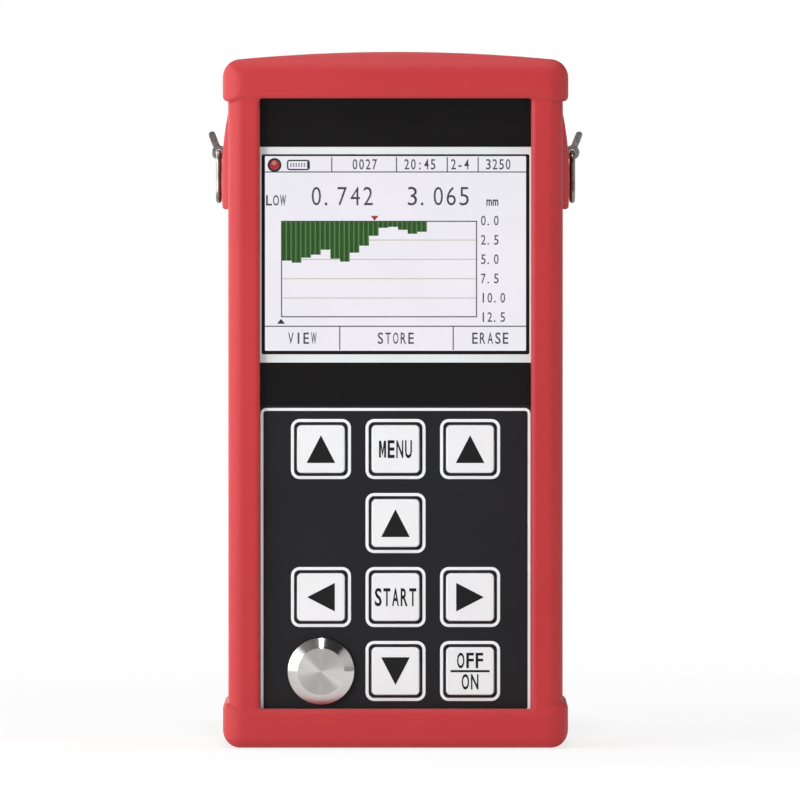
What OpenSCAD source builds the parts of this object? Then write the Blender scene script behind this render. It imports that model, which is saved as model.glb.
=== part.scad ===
// Hand-held ultrasonic thickness gauge in a moulded rubber boot.
// Millimetres. X runs across the face, -Y is the side that is read, +Z is up.
// The origin is the middle of the foot that the gauge stands on.

/* [Boot] */
// Width across the bumpers
boot_w = 76; // [72:0.5:90]
// Height from the foot to the crown of the top bumper
boot_h = 153; // [150:0.5:175]
// Depth across the bumpers
boot_d = 37; // [36:0.5:44]
// How far a bumper stands out beyond the sleeve at each side
bumper_step = 1.2; // [0.6:0.1:1.8]
// How far a bumper stands out in front of the sleeve and behind it
bumper_proud = 0.5; // [0.3:0.1:0.9]
// Height of the foot bumper
foot_bumper_h = 9.8; // [8:0.1:13]
// Height of the top bumper at its crown
top_bumper_h = 10.9; // [9.5:0.1:14]
// Wall of the sleeve at the sides
boot_wall = 2.6; // [2:0.1:3]
// Thickness of the lip that holds the case at the front and back
boot_lip = 2.5; // [2:0.1:3]
// Rubber under the case
boot_floor = 3.5; // [2.5:0.1:4.5]
// Rubber over the case at the crown
boot_crown = 4.6; // [4:0.1:5.5]
// Radius of the domed top
crown_r = 363; // [260:1:600]
// Width of the rubber rim beside the openings, in from the bumper's side
rim_w = 8.2; // [7.6:0.1:9]
// Lower edge of the openings above the foot
opening_low = 8.5; // [8:0.1:9.2]
// Rubber above the openings, up to the crown
opening_head = 10.2; // [9:0.1:12]
// Radius of the lip at the sides of the front opening
opening_round = 1; // [0.6:0.1:1.6]
// Corner radius of the opening at the back
back_round = 13; // [12:0.5:16]
// How far a side pad stands out from the sleeve
pad_rise = 1.5; // [1:0.1:1.8]
// Depth of a side pad from front to back
pad_d = 32; // [28:0.5:32]

/* [Case] */
// Wall of the two half shells
case_wall = 2.4; // [2:0.1:2.8]
// Radius of the corners of the case
case_r = 4; // [3.2:0.1:5]
// Thickness of the seal between the half shells
seal_t = 0.8; // [0.5:0.1:1.2]
// Where the halves part, measured back from the face
parting_depth = 11.35; // [11:0.05:12]
// Thickness of the display window and of the keypad panel
sheet_t = 1.4; // [1:0.1:1.6]

/* [Display] */
// Face between the lit area and the edge of the opening, at each side
screen_margin = 1.1; // [0.9:0.1:4]
// Height of the lit area as a share of its width
screen_ratio = 0.746; // [0.6:0.002:0.76]
// Bare strip of the window above the lit area
header_h = 12.7; // [12:0.1:14]
// Depth of the display frame
lcd_d = 4.2; // [3.6:0.1:4.8]

/* [Keypad] */
// Step between rows of keys, as a share of the opening's height
row_share = 0.1213; // [0.117:0.0001:0.125]
// Step between columns of keys, as a share of the opening's width
column_share = 0.2752; // [0.26:0.0001:0.28]
// Side of a square key top
key_side = 10.5; // [9:0.1:11.2]
// How far a key stands out of the panel
key_proud = 0.8; // [0.4:0.1:1.2]
// How far a key goes in
key_travel = 0.6; // [0.3:0.1:0.7]
// Middle of the lowest row above the lower edge of the opening
key_row_up = 8.3; // [7.8:0.1:9]

/* [Calibration disc] */
// Diameter of the disc
disc_dia = 14.6; // [12:0.1:15.2]
// Thickness of the disc
disc_t = 4; // [3:0.1:4.4]
// Diameter of its polished face
disc_face = 10.3; // [8:0.1:11.5]
// Height of its sloping rim
disc_slope = 1.4; // [0.6:0.1:2]

/* [Battery bay] */
// Diameter of a cell
cell_dia = 14.5; // [13.5:0.1:14.7]
// Length of a cell with its nipple
cell_len = 50.5; // [48:0.1:52]
// Width of the battery door
door_w = 36; // [35:0.5:38]
// Thickness of the battery door
door_t = 2; // [1.8:0.1:2.4]

/* [Probe sockets] */
// Distance between the two sockets
socket_span = 28; // [24:0.5:34]
// Diameter of the hole that takes a probe plug
socket_bore = 4.2; // [3:0.1:5]
// Diameter of the threaded socket body
socket_dia = 7; // [6.4:0.1:7.6]

/* [Strap] */
// Diameter of the ring's wire
wire_dia = 1.2; // [0.9:0.05:1.3]
// Width of a ring between wire centres
ring_w = 8; // [7:0.1:10]
// Length of a ring between wire centres
ring_len = 10.6; // [9:0.1:11.2]
// Thickness of a strap lug
lug_t = 2.4; // [1.6:0.1:2.8]

/* [Hidden] */
$fn = 64;

// Clearances: boot on case, sheets in their recesses, moving parts, screws in their holes
boot_fit = 0.15;
sheet_fit = 0.1;
slide_fit = 0.2;
screw_fit = 0.1;

// Sleeve and case, from the bumpers inwards
sleeve_w = boot_w - 2 * bumper_step;
sleeve_d = boot_d - 2 * bumper_proud;
sleeve_r = 3.2;
bumper_r = 4.2;
opening_corner_r = 0.5;
case_w = sleeve_w - 2 * (boot_wall + boot_fit);
case_d = sleeve_d - 2 * (boot_lip + boot_fit);
case_z0 = boot_floor + boot_fit;
case_z1 = boot_h - boot_crown - boot_fit;
face_y = -case_d / 2;
back_y = case_d / 2;
inside_y = face_y + case_wall;
sheet_y = face_y + sheet_t;
front_end_y = face_y + parting_depth - seal_t;
rear_end_y = face_y + parting_depth;

// Openings of the boot
opening_z0 = opening_low;
opening_z1 = boot_h - opening_head;
opening_mid = (opening_z0 + opening_z1) / 2;
opening_h = opening_z1 - opening_z0;
opening_w = boot_w - 2 * rim_w;

// Domed front outline of the top bumper: corner arcs that meet the crown arc
top_corner_r = 4.2;
foot_corner_r = 4;
top_edge_r = 5.5;
foot_edge_r = 3;
foot_low_r = 1.6;
top_low_r = 1.6;
top_corner_x = boot_w / 2 - top_corner_r;
crown_drop = crown_r - sqrt(pow(crown_r, 2) - pow(top_corner_x, 2));
top_corner_z = top_bumper_h - crown_drop - top_corner_r;

// Keypad: rows count from the top, columns from the left
row_pitch = opening_h * row_share;
column_pitch = opening_w * column_share;
row_low = opening_z0 + key_row_up;
function row_z(row) = row_low + (3 - row) * row_pitch;
KEYS = [["key_up_left", -1, 0], ["key_menu", 0, 0], ["key_up_right", 1, 0], ["key_up", 0, 1],
        ["key_left", -1, 2], ["key_enter", 0, 2], ["key_right", 1, 2],
        ["key_down", 0, 3], ["key_power", 1, 3]];
key_r = 1;
key_edge_r = 0.3;
key_gap = 0.05;
flange_out = 0.8;
flange_side = key_side + 2 * flange_out;
flange_t = 0.8;
flange_y0 = sheet_y + key_gap;
flange_y1 = flange_y0 + flange_t;
bump_h = 0.6;
bump_r = 3.4;
bump_y = flange_y1 + key_travel + key_gap;
mat_y = bump_y + bump_h;
mat_t = 0.8;
key_board_y = mat_y + mat_t;
key_board_t = 1.2;

// Sheets on the face: the keypad panel below and the display window above, meeting at a seam
sheet_cover = 1.2;
sheet_w = opening_w + 2 * sheet_cover;
sheet_r = 2;
seam_up = 9.7;
sheet_tuck = 2.2;
seam_z = row_z(0) + seam_up;
panel_z0 = opening_z0 - sheet_tuck;
panel_z1 = seam_z - sheet_fit / 2;
window_z0 = seam_z + sheet_fit / 2;
window_z1 = opening_z1 + sheet_tuck;
key_hole_margin = 0.6;
key_hole_w = 2 * column_pitch + flange_side + 4 * key_hole_margin;
key_hole_z0 = row_z(3) - flange_side / 2 - key_hole_margin;
key_hole_z1 = row_z(0) + flange_side / 2 + key_hole_margin;
disc_x = -column_pitch;
disc_z = row_z(3);
disc_rim = 1;
disc_seat = disc_dia / 2 + disc_rim;
seat_out = 4;

// Display stack
lit_w = opening_w - 2 * screen_margin;
lit_h = lit_w * screen_ratio;
display_z = opening_z1 - header_h - lit_h / 2;
lit_gap = 0.4;
glass_side = 1.2;
glass_end = 1.5;
glass_fit = 0.1;
glass_w = lit_w + 2 * glass_side;
glass_h = lit_h + 2 * glass_end;
glass_t = 1.6;
lcd_wall = 0.8;
lcd_w = glass_w + 2 * (lcd_wall + glass_fit);
lcd_h = glass_h + 2 * (lcd_wall + glass_fit);
gasket_t = 0.6;
lcd_y = inside_y + gasket_t;
board_y = lcd_y + lcd_d;
board_t = 1.6;
board_in = 0.8;
board_over = 7;
board_w = lcd_w - 2 * board_in;
board_h = lcd_h + 2 * board_over;
board_boss_in = 6;
board_boss_up = 3.6;
board_boss_x = board_w / 2 - board_boss_in;
board_boss_dz = lcd_h / 2 + board_boss_up;
board_boss_r = 2.2;

// Shield can on the back of the main board
can_w = board_w / 2;
can_h = board_h * 0.55;
can_d = 4;
can_wall = 0.4;
can_x = -board_w * 0.13;
can_z = display_z + board_h * 0.06;

// Keypad board, held to the face between the rows
key_board_in = 2.15;
key_board_low = 0.3;
key_board_up = 2.4;
key_boss_in = 2.7;
key_board_w = case_w - 2 * (case_wall + key_board_in);
key_board_z0 = row_z(3) - bump_r - key_board_low;
key_board_z1 = row_z(0) + bump_r + key_board_up;
key_boss_x = key_board_w / 2 - key_boss_in;
key_boss_r = 1.9;
key_boss_rows = [0.5, 2.5];
small_screw_d = 1.9;
small_head_d = 3.6;
small_head_t = 1.2;

// Case screws, driven from the back
case_screw_in = 6.05;
case_screw_low = 5.65;
case_screw_high = 5.35;
case_screw_x = case_w / 2 - case_screw_in;
case_screw_zs = [case_z0 + case_screw_low, case_z1 - case_screw_high];
case_screw_d = 2.5;
case_boss_r = 2.9;
case_head_d = 4.6;
case_head_t = 2;
case_head_deep = 3;
case_screw_hold = 5;
case_head_y = back_y - case_head_deep;
case_screw_tip = front_end_y - case_screw_hold;

// Battery bay, from the back inwards
bay_wall = 1.5;
bay_up = 8.5;
bay_z0 = opening_z0 + bay_up;
plate_t = 0.4;
spring_len = 4.2;
cell_gap = 0.1;
cell_fit = 0.15;
bay_side = 0.4;
bay_len = cell_len + spring_len + 2 * (plate_t + cell_gap);
bay_z1 = bay_z0 + bay_len;
bay_w = 2 * (cell_dia + cell_fit + bay_side);
cell_x = cell_dia / 2 + cell_fit;
door_seat = 0.1;
ledge_y = back_y - door_t - door_seat;
cell_y = ledge_y - cell_dia / 2 - cell_fit;
bay_y = cell_y - cell_dia / 2 - cell_fit;
door_low = 3;
door_high = 8;
door_z0 = bay_z0 - door_low;
door_z1 = bay_z1 + door_high;
door_h = door_z1 - door_z0;
door_axis_y = back_y - door_t / 2;
door_axis_z = door_z0 + door_t / 2;
door_pin_r = 0.55;
door_pin_l = 1.4;
door_gap = 0.2;
door_frame = 3;
door_ledge_t = 2.4;
door_frame_y = ledge_y - door_ledge_t;
door_corner_r = 2;
door_screw_up = 4.4;
door_screw_z = bay_z1 + door_screw_up;
door_screw_d = 2.5;
door_head_d = 6;
door_head_t = 1;
door_shank_l = 2;
door_grooves = 6;
door_groove_w = 18;
door_groove_h = 1.2;
door_groove_deep = 0.5;
door_groove_step = 2.4;
door_groove_down = 10;

// Probe sockets in the top of the rear shell
socket_x = socket_span / 2;
socket_in = 9.85;
socket_lip = 1.1;
socket_y = back_y - socket_in;
socket_flange_r = socket_dia / 2 + socket_lip;
socket_flange_t = 1.2;
socket_nose = 3.4;
socket_bore_l = 5.4;
socket_tail = 8;
core_in = 0.4;
core_r = socket_bore / 2 - core_in;
core_l = 3;
nut_wide = 1.9;
nut_r = socket_dia / 2 + nut_wide;
nut_t = 2.2;
slot_end = 8;
slot_w = socket_span + 2 * slot_end;
slot_d = 13;
slot_r = 5;

// Strap lugs and rings; pad_peak is where a side pad stands out most
pad_below_top = 28.5;
pad_peak = boot_h - pad_below_top;
pad_up = 16;
pad_down = 6.1;
pad_sink = 0.2;
pad_in = 4;
pad_edge_r = 1;
pad_side_r = 3;
pad_forward = 1;
pad_x = sleeve_w / 2 + pad_rise;
pad_arc_r = (pow(pad_up, 2) + pow(pad_rise + pad_sink, 2)) / (2 * (pad_rise + pad_sink));
lug_in = 13.35;
lug_up = 6.3;
lug_eye_wall = 0.9;
lug_y = back_y - lug_in;
pad_y = lug_y - pad_forward;
lug_x = pad_x + wire_dia / 2 + slide_fit;
lug_z = pad_peak + lug_up;
lug_root_h = 2.2;
lug_slot_l = 8;
lug_hole_r = wire_dia / 2 + screw_fit;
lug_eye_r = lug_hole_r + lug_eye_wall;
lug_lean = 21;
lug_tip_l = 4.2;
lug_tip_r = 0.75;
lug_foot_t = 1.4;
lug_foot_h = 5;
lug_foot_d = 5;
ring_bend = 2;

// Flat shape swept along X, Y or Z between two planes; across Y and X its height becomes Z
module along_x(x0, x1) {
    translate([x0, 0, 0]) rotate([90, 0, 90]) linear_extrude(x1 - x0) children();
}
module along_y(y0, y1) {
    translate([0, y1, 0]) rotate([90, 0, 0]) linear_extrude(y1 - y0) children();
}
module along_z(z0, z1) {
    translate([0, 0, z0]) linear_extrude(z1 - z0) children();
}

// Rectangle about the origin with round corners
module round_rect(w, h, r) {
    square([w - 2 * r, h], center = true);
    square([w, h - 2 * r], center = true);
    for (sx = [-1, 1], sy = [-1, 1])
        translate([sx * (w / 2 - r), sy * (h / 2 - r)]) circle(r);
}

// What a round corner takes off a square one
module corner_scrap(r) {
    difference() {
        square(r);
        translate([r, r]) circle(r);
    }
}

// Rectangle that stands on the axis, with one radius for its lower and one for its upper corners
module footed_rect(w, h, low_r, high_r) {
    difference() {
        translate([-w / 2, 0]) square([w, h]);
        for (s = [0, 1]) mirror([s, 0]) {
            translate([-w / 2, 0]) corner_scrap(low_r);
            if (high_r > 0) translate([-w / 2, h]) mirror([0, 1]) corner_scrap(high_r);
        }
    }
}

// Front outline of the top bumper, with its domed crown and round corners
module top_outline() {
    difference() {
        intersection() {
            footed_rect(boot_w, top_bumper_h + 1, bumper_step, 0);
            translate([0, top_bumper_h - crown_r]) circle(crown_r, $fn = 360);
        }
        for (s = [0, 1]) mirror([s, 0]) translate([top_corner_x, top_corner_z]) difference() {
            square(top_corner_r + 3);
            circle(top_corner_r);
        }
    }
}

// Rubber boot: sleeve, two bumpers and two side pads, hollow for the case
module top_bumper() {
    over = 0.4;
    translate([0, 0, boot_h - top_bumper_h]) intersection() {
        along_z(0, top_bumper_h + 1) round_rect(boot_w, boot_d, bumper_r);
        along_y(-boot_d / 2 - 1, boot_d / 2 + 1) top_outline();
        along_x(-boot_w / 2 - 1, boot_w / 2 + 1)
            footed_rect(boot_d, top_bumper_h + over, top_low_r, top_edge_r + over);
    }
}

module foot_bumper() {
    intersection() {
        along_z(0, foot_bumper_h) round_rect(boot_w, boot_d, bumper_r);
        along_y(-boot_d / 2, boot_d / 2) footed_rect(boot_w, foot_bumper_h, foot_corner_r, bumper_step);
        along_x(-boot_w / 2, boot_w / 2) footed_rect(boot_d, foot_bumper_h, foot_low_r, foot_edge_r);
    }
}

module side_pad() {
    intersection() {
        along_y(pad_y - pad_d / 2, pad_y + pad_d / 2) intersection() {
            translate([pad_x - pad_arc_r, pad_peak]) circle(pad_arc_r, $fn = 180);
            translate([pad_x - pad_in, pad_peak - pad_down]) difference() {
                square([pad_in, pad_down + pad_up + 2]);
                translate([pad_in, 0]) mirror([1, 0]) corner_scrap(pad_edge_r);
            }
        }
        translate([pad_x - pad_in, pad_y, 0]) along_z(0, boot_h) round_rect(2 * pad_in, pad_d, pad_side_r);
    }
}

module case_form(grow) {
    w = case_w + 2 * grow;
    h = case_z1 - case_z0 + 2 * grow;
    d = case_d + 2 * grow;
    r = case_r + grow;
    intersection() {
        along_z(case_z0 - grow, case_z1 + grow) round_rect(w, d, r);
        translate([0, 0, (case_z0 + case_z1) / 2]) along_y(-d / 2, d / 2) round_rect(w, h, r);
    }
}

module opening_form(y0, y1, r) {
    translate([0, 0, opening_mid]) along_y(y0, y1) round_rect(opening_w, opening_h, r);
}

// Space in front of the round lips at the sides of the front opening
module lip_space() {
    r = opening_round;
    side_x = opening_w / 2 + r;
    side_y = -sleeve_d / 2;
    along_z(opening_z0 - 1, opening_z1 + 1) difference() {
        translate([-side_x, side_y - 1]) square([2 * side_x, 1 + r]);
        for (s = [-1, 1]) translate([s * side_x, side_y + r]) circle(r);
    }
}

// Straight wall of the boot between its bumpers
module sleeve() {
    difference() {
        along_z(foot_bumper_h / 2, boot_h - top_bumper_h / 2) round_rect(sleeve_w, sleeve_d, sleeve_r);
        lip_space();
    }
}

module protective_boot() {
    color("#be3a40") difference() {
        union() {
            sleeve();
            foot_bumper();
            top_bumper();
            for (s = [0, 1]) mirror([s, 0, 0]) side_pad();
        }
        case_form(boot_fit);
        opening_form(-boot_d, 0, opening_corner_r);
        opening_form(0, boot_d, back_round);
        translate([0, socket_y, 0]) along_z(case_z1 - 1, boot_h + 1) round_rect(slot_w, slot_d, slot_r);
        for (s = [-1, 1]) translate([s * (case_w + lug_slot_l) / 2, lug_y, lug_z])
            cube([lug_slot_l, lug_t + 2 * slide_fit, 2 * (lug_eye_r + slide_fit)], center = true);
    }
}

// Half of the hollow case between two planes
module half_case(y0, y1) {
    difference() {
        intersection() {
            case_form(0);
            translate([-case_w, y0, 0]) cube([2 * case_w, y1 - y0, boot_h]);
        }
        case_form(-case_wall);
    }
}

// Rod along Y at a point of the face
module rod(x, z, r, y0, y1) {
    translate([x, y0, z]) rotate([-90, 0, 0]) cylinder(r = r, h = y1 - y0);
}

module at_case_screws() {
    for (sx = [-1, 1], z = case_screw_zs) translate([sx * case_screw_x, 0, z]) children();
}
module at_board_screws() {
    for (sx = [-1, 1], sz = [-1, 1])
        translate([sx * board_boss_x, 0, display_z + sz * board_boss_dz]) children();
}
module at_key_board_screws() {
    for (sx = [-1, 1], row = key_boss_rows) translate([sx * key_boss_x, 0, row_z(row)]) children();
}

// Front half of the case: recess for the two sheets, the screen's hole, the keys' hole, posts
module front_shell() {
    recess_h = window_z1 - panel_z0 + 2 * sheet_fit;
    color("#28282a") difference() {
        union() {
            half_case(face_y, front_end_y);
            at_case_screws() rod(0, 0, case_boss_r, inside_y - 0.5, front_end_y);
            at_board_screws() rod(0, 0, board_boss_r, inside_y - 0.5, board_y);
            at_key_board_screws() rod(0, 0, key_boss_r, inside_y - 0.5, key_board_y);
        }
        translate([0, 0, panel_z0 - sheet_fit + recess_h / 2]) along_y(face_y - 1, sheet_y)
            round_rect(sheet_w + 2 * sheet_fit, recess_h, sheet_r + sheet_fit);
        translate([0, 0, display_z]) along_y(sheet_y - 1, inside_y + 1)
            square([lit_w + 2 * lit_gap, lit_h + 2 * lit_gap], center = true);
        difference() {
            along_y(sheet_y - 1, inside_y + 1) translate([-key_hole_w / 2, key_hole_z0])
                square([key_hole_w, key_hole_z1 - key_hole_z0]);
            along_y(sheet_y - 2, inside_y + 2)
                translate([disc_x - disc_seat - seat_out, disc_z - disc_seat - seat_out])
                    square(2 * disc_seat + seat_out);
        }
        at_case_screws() rod(0, 0, (case_screw_d + screw_fit) / 2, case_screw_tip - 1, front_end_y + 1);
        at_board_screws() rod(0, 0, (small_screw_d + screw_fit) / 2, inside_y + 0.4, board_y + 1);
        at_key_board_screws()
            rod(0, 0, (small_screw_d + screw_fit) / 2, inside_y - 0.4, key_board_y + 1);
    }
}

// Rear half of the case: battery bay with the door's seat, posts, sockets' holes, lugs' slots
module rear_shell() {
    frame_w = door_w + 2 * door_frame;
    color("#2b2b2d") difference() {
        union() {
            half_case(rear_end_y, back_y);
            along_y(door_frame_y, back_y - 0.5) translate([-frame_w / 2, door_z0 - door_frame])
                square([frame_w, door_h + 2 * door_frame]);
            along_y(bay_y - bay_wall, back_y - 0.5) translate([-bay_w / 2 - bay_wall, bay_z0 - bay_wall])
                square([bay_w + 2 * bay_wall, bay_len + 2 * bay_wall]);
            at_case_screws() rod(0, 0, case_boss_r, rear_end_y, back_y - 0.5);
            rod(0, door_screw_z, door_screw_d / 2 + 1.6, ledge_y - 5, back_y - 0.5);
        }
        along_y(bay_y, back_y + 1) translate([-bay_w / 2, bay_z0]) square([bay_w, bay_len]);
        along_y(ledge_y, back_y + 1) translate([-door_w / 2 - door_gap, door_z0 - door_gap])
            square([door_w + 2 * door_gap, door_h + 2 * door_gap]);
        along_x(-door_w / 2 - door_pin_l - 0.4, door_w / 2 + door_pin_l + 0.4)
            translate([door_axis_y, door_axis_z]) circle(door_pin_r + 0.08);
        rod(0, door_screw_z, door_screw_d / 2 + slide_fit, ledge_y - 3, back_y + 1);
        at_case_screws() {
            rod(0, 0, case_screw_d / 2 + screw_fit, rear_end_y - 1, back_y);
            rod(0, 0, case_head_d / 2 + slide_fit, case_head_y, back_y + 1);
        }
        for (s = [-1, 1]) {
            translate([s * socket_x, socket_y, case_z1 - case_wall - 1])
                cylinder(d = socket_dia + screw_fit, h = case_wall + 2);
            translate([s * case_w / 2, lug_y, lug_z])
                cube([4 * case_wall, lug_t + screw_fit, lug_root_h + screw_fit], center = true);
        }
    }
}

module case_seal() {
    color("#3c3c3e") half_case(front_end_y, rear_end_y);
}

// Screw along Y: its head ends at head_y and its shank runs forward to tip_y
module small_screw(shank_d, head_d, head_t, head_y, tip_y, slot_w) {
    difference() {
        union() {
            rod(0, 0, shank_d / 2, tip_y, head_y + head_t / 2);
            rod(0, 0, head_d / 2, head_y, head_y + head_t);
        }
        for (a = [0, 90]) translate([0, head_y + head_t, 0]) rotate([0, a, 0])
            cube([0.6 * head_d, head_t, slot_w], center = true);
    }
}

module case_screws() {
    color("#8c8e92") at_case_screws()
        small_screw(case_screw_d, case_head_d, case_head_t, case_head_y, case_screw_tip, 0.8);
}

module display_window() {
    h = window_z1 - window_z0;
    color("#1a1718") translate([0, 0, window_z0 + h / 2]) along_y(face_y, sheet_y)
        round_rect(sheet_w, h, sheet_r);
}

module display_gasket() {
    color("#202022") translate([0, 0, display_z]) along_y(inside_y, lcd_y) difference() {
        square([glass_w, glass_h], center = true);
        square([lit_w + 2 * lit_gap, lit_h + 2 * lit_gap], center = true);
    }
}

// Pressed tray that holds the glass and its light
module display_frame() {
    color("#b9bcc0") translate([0, 0, display_z]) difference() {
        along_y(lcd_y, board_y) round_rect(lcd_w, lcd_h, 0.8);
        along_y(lcd_y - 1, lcd_y + glass_t)
            square([glass_w + 2 * glass_fit, glass_h + 2 * glass_fit], center = true);
    }
}

module display_glass() {
    color("#f0eef4") translate([0, 0, display_z]) along_y(lcd_y, lcd_y + glass_t)
        square([glass_w, glass_h], center = true);
}

module keypad_panel() {
    h = panel_z1 - panel_z0;
    color("#2a292b") difference() {
        translate([0, 0, panel_z0 + h / 2]) along_y(face_y, sheet_y) round_rect(sheet_w, h, sheet_r);
        for (k = KEYS) translate([k[1] * column_pitch, 0, row_z(k[2])]) along_y(face_y - 1, sheet_y + 1)
            round_rect(key_side + 2 * slide_fit, key_side + 2 * slide_fit, key_r + slide_fit);
        rod(disc_x, disc_z, disc_dia / 2 + sheet_fit, face_y - 1, sheet_y + 1);
    }
}

// Silicone mat with a dome under each key
module keypad_mat() {
    w = 2 * column_pitch + 2 * bump_r + 2;
    color("#6d7076") {
        along_y(mat_y, key_board_y) translate([-w / 2, key_board_z0])
            square([w, key_board_z1 - key_board_z0]);
        for (k = KEYS) rod(k[1] * column_pitch, row_z(k[2]), bump_r, bump_y, mat_y + 0.2);
    }
}

module keypad_board() {
    color("#2f6b3c") difference() {
        along_y(key_board_y, key_board_y + key_board_t) translate([-key_board_w / 2, key_board_z0])
            square([key_board_w, key_board_z1 - key_board_z0]);
        at_key_board_screws()
            rod(0, 0, small_screw_d / 2 + screw_fit, key_board_y - 1, key_board_y + key_board_t + 1);
    }
}

module main_board() {
    color("#2f6b3c") difference() {
        translate([0, 0, display_z]) along_y(board_y, board_y + board_t) round_rect(board_w, board_h, 1.5);
        at_board_screws() rod(0, 0, small_screw_d / 2 + screw_fit, board_y - 1, board_y + board_t + 1);
    }
}

// Thin metal can over the pulser and receiver
module shield_can() {
    y0 = board_y + board_t;
    color("#c3c6c9") translate([can_x, 0, can_z]) difference() {
        along_y(y0, y0 + can_d) square([can_w, can_h], center = true);
        along_y(y0 - 1, y0 + can_d - can_wall)
            square([can_w - 2 * can_wall, can_h - 2 * can_wall], center = true);
    }
}

module board_screws() {
    color("#9a9ca0") {
        at_board_screws() small_screw(small_screw_d, small_head_d, small_head_t,
                                      board_y + board_t, inside_y + 1, 0.6);
        at_key_board_screws() small_screw(small_screw_d, small_head_d, small_head_t,
                                          key_board_y + key_board_t, inside_y + 0.2, 0.6);
    }
}

// Hard key top with eased front edges and a flange that keeps it behind the panel
module key(column, row) {
    key_y0 = face_y - key_proud;
    key_l = flange_y0 - key_y0 + flange_t / 2;
    half = key_side / 2;
    color("#eeeef0") translate([column * column_pitch, 0, row_z(row)]) {
        intersection() {
            along_y(key_y0, key_y0 + key_l) round_rect(key_side, key_side, key_r);
            along_x(-half, half) translate([key_y0, 0]) rotate(-90)
                footed_rect(key_side, key_l, key_edge_r, 0);
            along_z(-half, half) translate([0, key_y0]) footed_rect(key_side, key_l, key_edge_r, 0);
        }
        along_y(flange_y0, flange_y1) round_rect(flange_side, flange_side, key_r);
    }
}

// Turned check block of known thickness
module calibration_disc() {
    color("#c2c0bd") translate([disc_x, sheet_y, disc_z]) rotate([90, 0, 0]) rotate_extrude()
        polygon([[0, 0], [disc_dia / 2 - 0.2, 0], [disc_dia / 2, 0.2], [disc_dia / 2, disc_t - disc_slope],
                 [disc_face / 2, disc_t], [0, disc_t]]);
}

// Coaxial socket: flange on the case, nose with the plug's bore, thread through the wall
module probe_socket(side) {
    r = socket_dia / 2;
    bore = socket_bore / 2;
    nose = socket_nose;
    floor_z = nose - socket_bore_l;
    color("#cfcfcd") translate([side * socket_x, socket_y, case_z1]) rotate_extrude()
        polygon([[core_r, -socket_tail], [r, -socket_tail], [r, 0], [socket_flange_r, 0],
                 [socket_flange_r, socket_flange_t], [r, socket_flange_t], [r, nose - 0.3],
                 [r - 0.3, nose], [bore, nose], [bore, floor_z], [core_r, floor_z]]);
}

// Insulating cores with the sockets for the plugs' inner pins
module socket_cores() {
    color("#e9e6dd") for (s = [-1, 1])
        translate([s * socket_x, socket_y, case_z1 + socket_nose - socket_bore_l - core_l]) difference() {
            cylinder(r = core_r, h = core_l);
            translate([0, 0, core_l - 2]) cylinder(r = 0.4, h = 3);
        }
}

module socket_nuts() {
    color("#b4b6b8") for (s = [-1, 1])
        translate([s * socket_x, socket_y, case_z1 - case_wall - nut_t]) difference() {
            cylinder(r = nut_r, h = nut_t, $fn = 6);
            translate([0, 0, -1]) cylinder(d = socket_dia + screw_fit, h = nut_t + 2);
        }
}

// Cells lie head to tail: up = 1 has its nipple at the top
module battery_cell(side, up) {
    r = cell_dia / 2;
    nipple = 1.2;
    z0 = bay_z0 + plate_t + (up > 0 ? spring_len + 0.1 : 0.1);
    color("#3d4a58") translate([side * cell_x, cell_y, up > 0 ? z0 : z0 + cell_len])
        mirror([0, 0, up > 0 ? 0 : 1]) rotate_extrude()
            polygon([[0, 0], [r - 1, 0], [r, 0.6], [r, cell_len - nipple - 0.6], [r - 0.8, cell_len - nipple],
                     [2.75, cell_len - nipple], [2.75, cell_len - 0.2], [2.55, cell_len], [0, cell_len]]);
}

// Coil of wire that opens towards its plate
coil_wire = 0.4;
coil_wide_r = 5.2;
coil_narrow_r = 3.2;
coil_turns = 3;
coil_steps = 14;
coil_sides = 6;
function coil_r(t) = coil_wide_r - (coil_wide_r - coil_narrow_r) * t;
function coil_ring(i) = let (n = coil_turns * coil_steps, t = i / n, a = 360 * i / coil_steps,
                             z = coil_wire + t * (spring_len - 2 * coil_wire))
    [for (j = [0:coil_sides - 1]) let (b = 360 * j / coil_sides, r = coil_r(t) + coil_wire * cos(b))
        [r * cos(a), r * sin(a), z + coil_wire * sin(b)]];
module coil() {
    n = coil_turns * coil_steps;
    points = [for (i = [0:n]) each coil_ring(i)];
    sides = [for (i = [0:n - 1], j = [0:coil_sides - 1]) let (k = (j + 1) % coil_sides, a = i * coil_sides)
        [a + j, a + k, a + coil_sides + k, a + coil_sides + j]];
    low_end = [for (j = [coil_sides - 1:-1:0]) j];
    high_end = [for (j = [0:coil_sides - 1]) n * coil_sides + j];
    polyhedron(points, concat(sides, [low_end, high_end]));
}

module battery_springs() {
    color("#c9cacb") {
        translate([-cell_x, cell_y, bay_z0 + plate_t]) coil();
        translate([cell_x, cell_y, bay_z1 - plate_t]) mirror([0, 0, 1]) coil();
    }
}

// Plates at the ends of the bay: one for each cell below, one across both above
module battery_contacts() {
    plate_w = cell_dia - 2;
    color("#c9cacb") {
        for (s = [-1, 1]) translate([s * cell_x, cell_y, bay_z0 + plate_t / 2])
            cube([plate_w, plate_w, plate_t], center = true);
        translate([0, cell_y, bay_z1 - plate_t / 2])
            cube([2 * cell_x + plate_w, plate_w, plate_t], center = true);
    }
}

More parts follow.
